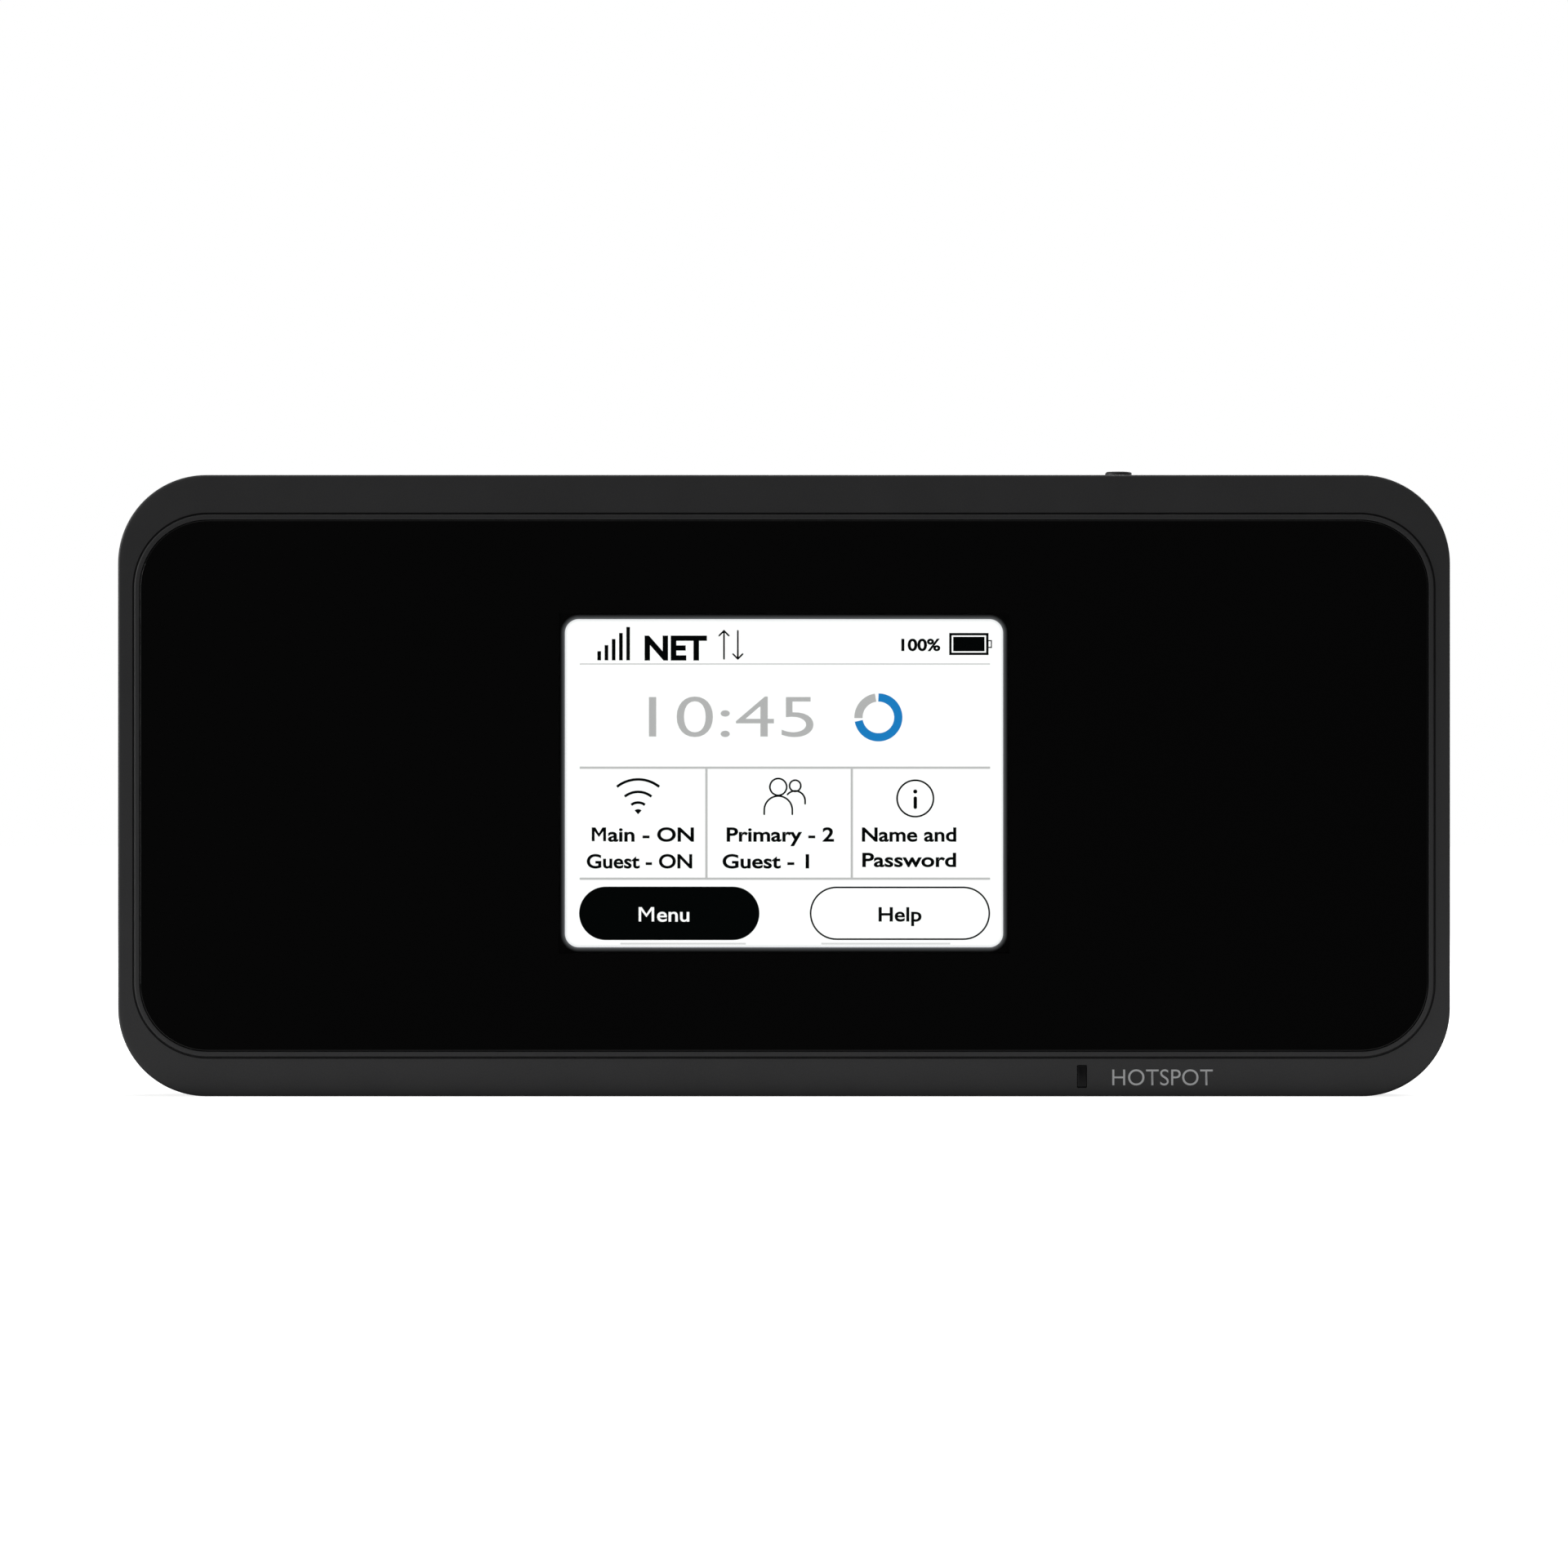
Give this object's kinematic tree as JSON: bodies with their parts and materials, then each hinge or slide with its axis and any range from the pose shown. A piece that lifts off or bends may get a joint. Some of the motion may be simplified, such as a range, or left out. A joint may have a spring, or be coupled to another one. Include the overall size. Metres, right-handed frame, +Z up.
{
  "type": "mobile hotspot",
  "caption": "Flat pocket router with a black glass front, small touch screen, removable battery under a clip-on back, side key and data socket.",
  "frame": {"origin": "middle of the long lower edge that the body stands on, centre of the thickness", "axes": "+Z up the short side, X along the width, the screen looks towards -Y and the battery cover is on +Y"},
  "size_m": [0.1538, 0.0178, 0.0722],
  "materials": {
    "shell_plastic": "fine moulded grain",
    "lens_glass": "polished, printed black on the back",
    "tape": "plain",
    "display": "lit screen",
    "backlight": "white frame",
    "steel_sheet": "bright stamped",
    "flex_film": "amber film",
    "graphite": "satin, dark faced",
    "board": "solder mask",
    "thermal_gel": "soft matt",
    "dark_plastic": "moulded",
    "light_guide": "tinted clear",
    "led": "moulded",
    "tray_plastic": "moulded",
    "screw_steel": "blackened",
    "copper_film": "satin foil",
    "label": "printed film, blank",
    "battery_wrap": "dark film over a rigid pack",
    "sim_plastic": "printed card"
  },
  "bodies": {
    "housing": {"antenna_carrier_1": "tray_plastic", "antenna_carrier_2": "tray_plastic", "antenna_carrier_3": "tray_plastic", "antenna_carrier_4": "tray_plastic", "antenna_film_1": "copper_film", "antenna_film_2": "copper_film", "antenna_film_3": "copper_film", "antenna_film_4": "copper_film", "battery_connector": "dark_plastic", "cover_lens": "lens_glass", "display_backlight": "backlight", "display_bracket": "steel_sheet", "display_flex": "flex_film", "display_panel": "display", "front_housing": "shell_plastic", "heat_spreader": "graphite", "lens_adhesive": "tape", "main_board": "board", "mmwave_module_left": "dark_plastic", "mmwave_module_right": "dark_plastic", "mmwave_module_top": "dark_plastic", "modem_shield": "steel_sheet", "modem_thermal_pad": "thermal_gel", "power_shield": "steel_sheet", "power_switch": "dark_plastic", "processor_shield": "steel_sheet", "processor_thermal_pad": "thermal_gel", "radio_shield": "steel_sheet", "rating_label": "label", "rear_housing": "tray_plastic", "reset_switch": "dark_plastic", "sim_holder": "steel_sheet", "status_led": "led", "status_light_pipe": "light_guide", "tray_screw_1": "screw_steel", "tray_screw_2": "screw_steel", "tray_screw_3": "screw_steel", "tray_screw_4": "screw_steel", "tray_screw_5": "screw_steel", "tray_screw_6": "screw_steel", "tray_screw_7": "screw_steel", "tray_screw_8": "screw_steel", "usb_port_sleeve": "steel_sheet", "usb_port_tongue": "dark_plastic"},
    "power_button": {"power_button": "shell_plastic", "power_switch_plunger": "sim_plastic"},
    "reset_key": {"reset_plunger": "sim_plastic"},
    "sim_card": {"sim_card": "sim_plastic"},
    "back_cover": {"back_cover": "shell_plastic"},
    "battery": {"battery_cell": "battery_wrap", "battery_cap": "dark_plastic", "battery_label": "label"}
  },
  "joints": [
    {"name": "power_button_press", "type": "slide", "parent": "housing", "child": "power_button", "axis": [0, 0, -1], "range_m": [0, 0.0003], "stiffness_N_per_m": 4000, "springref_m": -0.0001},
    {"name": "reset_key_press", "type": "slide", "parent": "housing", "child": "reset_key", "axis": [0, -1, 0], "range_m": [0, 0.00025], "stiffness_N_per_m": 4000, "springref_m": -0.0001},
    {"name": "sim_card_slide", "type": "slide", "parent": "housing", "child": "sim_card", "axis": [1, 0, 0], "range_m": [0, 0.008]},
    {"name": "back_cover_lift", "type": "slide", "parent": "housing", "child": "back_cover", "axis": [0, 1, 0], "range_m": [0, 0.06]},
    {"name": "battery_lift", "type": "slide", "parent": "housing", "child": "battery", "axis": [0, 1, 0], "range_m": [0, 0.03]}
  ],
  "couplings": [
    {"joint": "battery_lift", "follows": "back_cover_lift", "ratio": 0.5}
  ]
}
